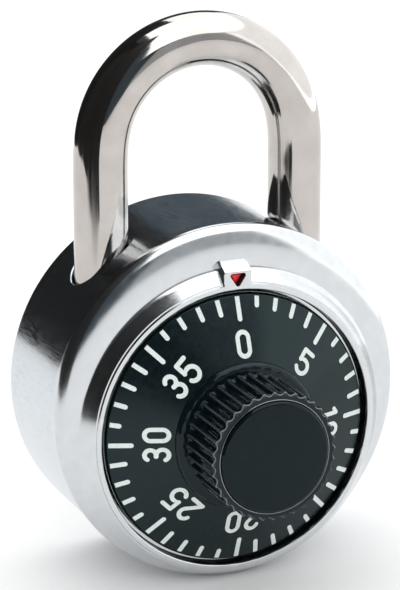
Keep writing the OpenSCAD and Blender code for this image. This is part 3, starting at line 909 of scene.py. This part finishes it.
# ------------------------------------------------------------------ kept CAD nodes
RESHAPED = ("outer_case", "rear_cover", "index_pointer", "dial_plate", "knob", "knob_cap", "shackle",
            "latch_spring")
LOOKS = {
    "dial_marks": WHITE,
    "inner_case": STEEL, "post_plate": STEEL, "heel_stop": STEEL, "latch_guide": STEEL,
    "dial_bushing": BRASS, "disc_spacers": BRASS, "drive_cam": BRASS, "middle_disc": BRASS,
    "rear_disc": BRASS,
    "friction_washer": SPRING, "lever_spring": SPRING, "spindle_ring": SPRING,
}
for name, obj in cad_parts.items():
    if name not in RESHAPED:
        for s in obj.material_slots:
            s.material = LOOKS.get(name, BRIGHT)


# ------------------------------------------------------------------ stage, in metres
FLOOR = 8               # side of the floor
FLAG_H = 0.80           # height of a flag
FLAG_Z = 0.337          # its middle, leaving a gap above the floor


def floor_material():
    """Matt pale grey, faintly uneven."""
    mat, tree, shader = new_material("pale_floor", Roughness=0.75, Specular_IOR_Level=0.2)
    tone = ramp(tree, noise(tree, 14), "Fac", SPAN, (0.86, 0.86, 0.86), (0.90, 0.90, 0.90))
    link(tree, tone, "Color", shader, "Base Color")
    return mat


def plane(name, centre, size, material):
    """A flat piece of the stage."""
    bpy.ops.mesh.primitive_plane_add(size=1, location=centre)
    obj = bpy.context.object
    obj.name = name
    obj.scale = (*size, 1)
    obj.data.materials.append(material)
    return obj


def look_at(obj, target):
    """Turn an object's -Z towards a point."""
    obj.rotation_euler = (Vector(target) - obj.location).to_track_quat("-Z", "Y").to_euler()


def only_in_reflections(obj):
    """Hide an object from the camera, the diffuse light and the shadows."""
    obj.visible_camera = False
    obj.visible_diffuse = False
    obj.visible_shadow = False


def flag_card(name, centre, width, facing):
    """A black card seen only in reflections, as a studio flag is."""
    mat, _, _ = new_material(name + "_black", Base_Color=(0.002, 0.002, 0.002), Roughness=0.9)
    card = plane(name, (*centre, FLAG_Z), (width, FLAG_H), mat)
    look_at(card, (*facing, FLAG_Z))
    only_in_reflections(card)


def area(name, location, target, size, power):
    """A rectangular light, its size in metres and its power in watts."""
    data = bpy.data.lights.new(name, "AREA")
    data.shape = "RECTANGLE"
    data.size, data.size_y = size
    data.energy = power
    obj = bpy.data.objects.new(name, data)
    obj.location = location
    SCENE.collection.objects.link(obj)
    look_at(obj, target)
    obj.visible_camera = False
    return obj


def softbox(name, location, facing, size, radiance):
    """An area light of a given brightness, seen only in reflections."""
    box = area(name, location, facing, size, radiance * math.pi * size[0] * size[1])
    box.visible_diffuse = False


def key_light(name, location, power):
    """A soft light on the floor and the matt parts, not seen in reflections."""
    key = area(name, location, (0.0, 0.0, -0.06), (0.8, 0.8), power)
    key.visible_glossy = False


def dim_room(radius, colour, strength):
    """The dim blue room round the stage, seen only in reflections."""
    mat, _, _ = new_material("dim_room_blue", Base_Color=(0.0, 0.0, 0.0), Roughness=1.0,
                             Specular_IOR_Level=0.0, Emission_Color=colour, Emission_Strength=strength)
    bpy.ops.mesh.primitive_uv_sphere_add(radius=radius, segments=48, ring_count=24)
    room = bpy.context.object
    room.name = "dim_room"
    room.data.materials.append(mat)
    only_in_reflections(room)


plane("floor", (0, 0, (BODY_Z - SHOULDER_R) * MM), (FLOOR, FLOOR), floor_material())
softbox("overhead_softbox", (0.22, -0.41, 0.60), (0.22, -0.41, 0.0), (0.76, 1.28), 2.2)
softbox("overhead_back", (0.325, 0.54, 0.60), (0.325, 0.54, 0.0), (0.55, 0.62), 1.9)
softbox("right_softbox", (0.60, 0.05, 0.27), (0.0, 0.05, 0.27), (1.9, 0.66), 1.45)
softbox("front_panel", (0.42, -1.10, 0.28), (0.0, 0.0, 0.1), (0.8, 0.66), 0.40)
key_light("floor_key", (-0.05, 0.45, 0.85), 2.6)
key_light("front_key", (-0.35, -0.75, 0.40), 1.0)
dim_room(6.0, (0.62, 0.80, 0.94), 0.10)
flag_card("flag_left", (-0.30, 0.24), 0.40, (0.0, 0.24))
flag_card("flag_front_left", (-0.195, -0.0575), 0.287, (-0.059, 0.089))
flag_card("flag_back_left", (-0.14, 0.30), 0.36, (-0.14, 0.0))

# White room behind everything: it lights the matt parts and stays out of reflections
world = bpy.data.worlds.new("studio")
SCENE.world = world
world.use_nodes = True
sky = world.node_tree.nodes["Background"]
sky.inputs["Color"].default_value = (1.0, 1.0, 1.0, 1)
sky.inputs["Strength"].default_value = 1.1
world.cycles_visibility.glossy = False

SCENE.view_settings.view_transform = "Standard"

# ------------------------------------------------------------------ camera
CAM_AZ = math.radians(22.95)    # to the viewer's left
CAM_EL = math.radians(16.36)    # above the level
CAM_D = 347.5                   # from the target, in millimetres
SENSOR = 36.0                   # along the picture's long side, in millimetres
LENS = 165.4414                 # focal length, in millimetres
TARGET = Vector((-5.12, -CONE_H, DIAL_Z + 18.69))

away = Vector((-math.sin(CAM_AZ) * math.cos(CAM_EL), -math.cos(CAM_AZ) * math.cos(CAM_EL),
               math.sin(CAM_EL)))
cam_data = bpy.data.cameras.new("camera")
cam_data.sensor_width = SENSOR
cam_data.sensor_fit = "AUTO"
cam_data.lens = LENS
cam_data.clip_start = 0.01
camera = bpy.data.objects.new("camera", cam_data)
camera.location = (TARGET + away * CAM_D) * MM
look_at(camera, TARGET * MM)
SCENE.collection.objects.link(camera)
SCENE.camera = camera
